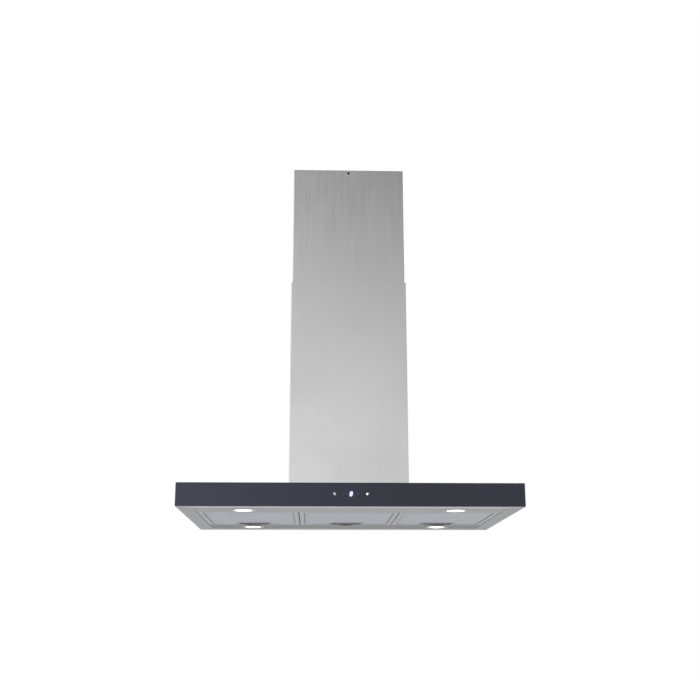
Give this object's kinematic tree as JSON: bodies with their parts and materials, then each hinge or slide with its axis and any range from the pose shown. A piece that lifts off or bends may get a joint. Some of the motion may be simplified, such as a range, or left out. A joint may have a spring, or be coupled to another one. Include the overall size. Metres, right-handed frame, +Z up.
{
  "type": "island range hood",
  "caption": "Ceiling-hung cooker hood: flat canopy with a dark glass front, lift-out mesh filters, lamps and touch controls, and a telescopic chimney over its blower.",
  "frame": {"origin": "centre of the ceiling plane, on top of the ceiling plate", "axes": "+Z up, the glass front towards -Y, +X to the right of someone who faces the front"},
  "size_m": [0.9, 0.65, 1.0178],
  "materials": {
    "stainless_steel": "brushed stainless steel, fine straight grain",
    "zinc_steel": "zinc-coated sheet steel, dull with a fine spangle",
    "back_painted_glass": "toughened glass painted dark slate on its back, polished edges",
    "lamp_trim": "satin chrome",
    "lamp_lens": "frosted and lit",
    "cast_aluminium": "as cast",
    "display_plastic": "black, with pale lit digit",
    "circuit_board": "green solder mask",
    "cable_sheath": "grey sheath",
    "filter_frame_aluminium": "rolled aluminium, satin",
    "filter_mesh_aluminium": "layers of expanded mesh",
    "latch_plastic": "dark grey moulded plastic",
    "spring_steel": "bright drawn wire and bar",
    "damper_aluminium": "sheet, satin",
    "fan_aluminium": "pressed sheet, dull",
    "motor_casing": "black paint",
    "wiring_plastic": "black moulded plastic",
    "capacitor_plastic": "pale grey moulded plastic"
  },
  "bodies": {
    "ceiling_frame": {"ceiling_plate": "zinc_steel", "upper_rail_front_left": "zinc_steel", "upper_rail_front_right": "zinc_steel", "upper_rail_rear_left": "zinc_steel", "upper_rail_rear_right": "zinc_steel", "upper_brace": "zinc_steel", "upper_cover": "stainless_steel"},
    "hood": {"base_frame": "zinc_steel", "lower_rail_front_left": "zinc_steel", "lower_rail_front_right": "zinc_steel", "lower_rail_rear_left": "zinc_steel", "lower_rail_rear_right": "zinc_steel", "lower_brace": "zinc_steel", "canopy_shell": "stainless_steel", "front_glass": "back_painted_glass", "lamp_panel_front": "stainless_steel", "lamp_panel_rear": "stainless_steel", "lamp_trim_front_left": "lamp_trim", "lamp_lens_front_left": "lamp_lens", "lamp_heat_sink_front_left": "cast_aluminium", "lamp_trim_front_right": "lamp_trim", "lamp_lens_front_right": "lamp_lens", "lamp_heat_sink_front_right": "cast_aluminium", "lamp_trim_rear_left": "lamp_trim", "lamp_lens_rear_left": "lamp_lens", "lamp_heat_sink_rear_left": "cast_aluminium", "lamp_trim_rear_right": "lamp_trim", "lamp_lens_rear_right": "lamp_lens", "lamp_heat_sink_rear_right": "cast_aluminium", "display_module": "display_plastic", "control_board": "circuit_board", "control_cable": "cable_sheath", "blower_box": "zinc_steel", "scroll_front": "zinc_steel", "scroll_rear": "zinc_steel", "motor_bracket": "zinc_steel", "motor": "motor_casing", "outlet_collar": "zinc_steel", "damper_pin": "spring_steel", "junction_box": "wiring_plastic", "junction_lid": "wiring_plastic", "capacitor": "capacitor_plastic", "supply_gland": "wiring_plastic"},
    "lower_cover": {"lower_cover": "stainless_steel"},
    "fan": {"impeller": "fan_aluminium", "motor_shaft": "spring_steel"},
    "damper_front": {"damper_flap_front": "damper_aluminium"},
    "damper_rear": {"damper_flap_rear": "damper_aluminium"},
    "filter_left": {"filter_frame_left": "filter_frame_aluminium", "filter_mesh_left": "filter_mesh_aluminium"},
    "latch_left": {"filter_latch_left": "latch_plastic", "latch_spring_left": "spring_steel"},
    "filter_centre": {"filter_frame_centre": "filter_frame_aluminium", "filter_mesh_centre": "filter_mesh_aluminium"},
    "latch_centre": {"filter_latch_centre": "latch_plastic", "latch_spring_centre": "spring_steel"},
    "filter_right": {"filter_frame_right": "filter_frame_aluminium", "filter_mesh_right": "filter_mesh_aluminium"},
    "latch_right": {"filter_latch_right": "latch_plastic", "latch_spring_right": "spring_steel"}
  },
  "joints": [
    {"name": "height_adjust", "type": "slide", "parent": "ceiling_frame", "child": "hood", "axis": [0, 0, 1], "range_m": [-0.08, 0.1]},
    {"name": "lower_cover_lift", "type": "slide", "parent": "hood", "child": "lower_cover", "axis": [0, 0, 1], "range_m": [0, 0.25]},
    {"name": "fan_spin", "type": "hinge", "parent": "hood", "child": "fan", "pos_m": [0.054, 0, -0.8244], "axis": [0, 1, 0], "continuous": true},
    {"name": "damper_front_swing", "type": "hinge", "parent": "hood", "child": "damper_front", "pos_m": [0, 0, -0.6731], "axis": [-1, 0, 0], "range_deg": [0, 75]},
    {"name": "damper_rear_swing", "type": "hinge", "parent": "hood", "child": "damper_rear", "pos_m": [0, 0, -0.6731], "axis": [1, 0, 0], "range_deg": [0, 75]},
    {"name": "filter_left_tilt", "type": "hinge", "parent": "hood", "child": "filter_left", "pos_m": [-0.27267, -0.175, -1.0112], "axis": [-1, 0, 0], "range_deg": [0, 60]},
    {"name": "filter_centre_tilt", "type": "hinge", "parent": "hood", "child": "filter_centre", "pos_m": [0, -0.175, -1.0112], "axis": [-1, 0, 0], "range_deg": [0, 60]},
    {"name": "filter_right_tilt", "type": "hinge", "parent": "hood", "child": "filter_right", "pos_m": [0.27267, -0.175, -1.0112], "axis": [-1, 0, 0], "range_deg": [0, 60]},
    {"name": "latch_left_slide", "type": "slide", "parent": "filter_left", "child": "latch_left", "axis": [0, -1, 0], "range_m": [0, 0.005], "stiffness_N_per_m": 800, "springref_m": -0.004, "deforming": ["latch_spring_left"]},
    {"name": "latch_centre_slide", "type": "slide", "parent": "filter_centre", "child": "latch_centre", "axis": [0, -1, 0], "range_m": [0, 0.005], "stiffness_N_per_m": 800, "springref_m": -0.004, "deforming": ["latch_spring_centre"]},
    {"name": "latch_right_slide", "type": "slide", "parent": "filter_right", "child": "latch_right", "axis": [0, -1, 0], "range_m": [0, 0.005], "stiffness_N_per_m": 800, "springref_m": -0.004, "deforming": ["latch_spring_right"]}
  ]
}
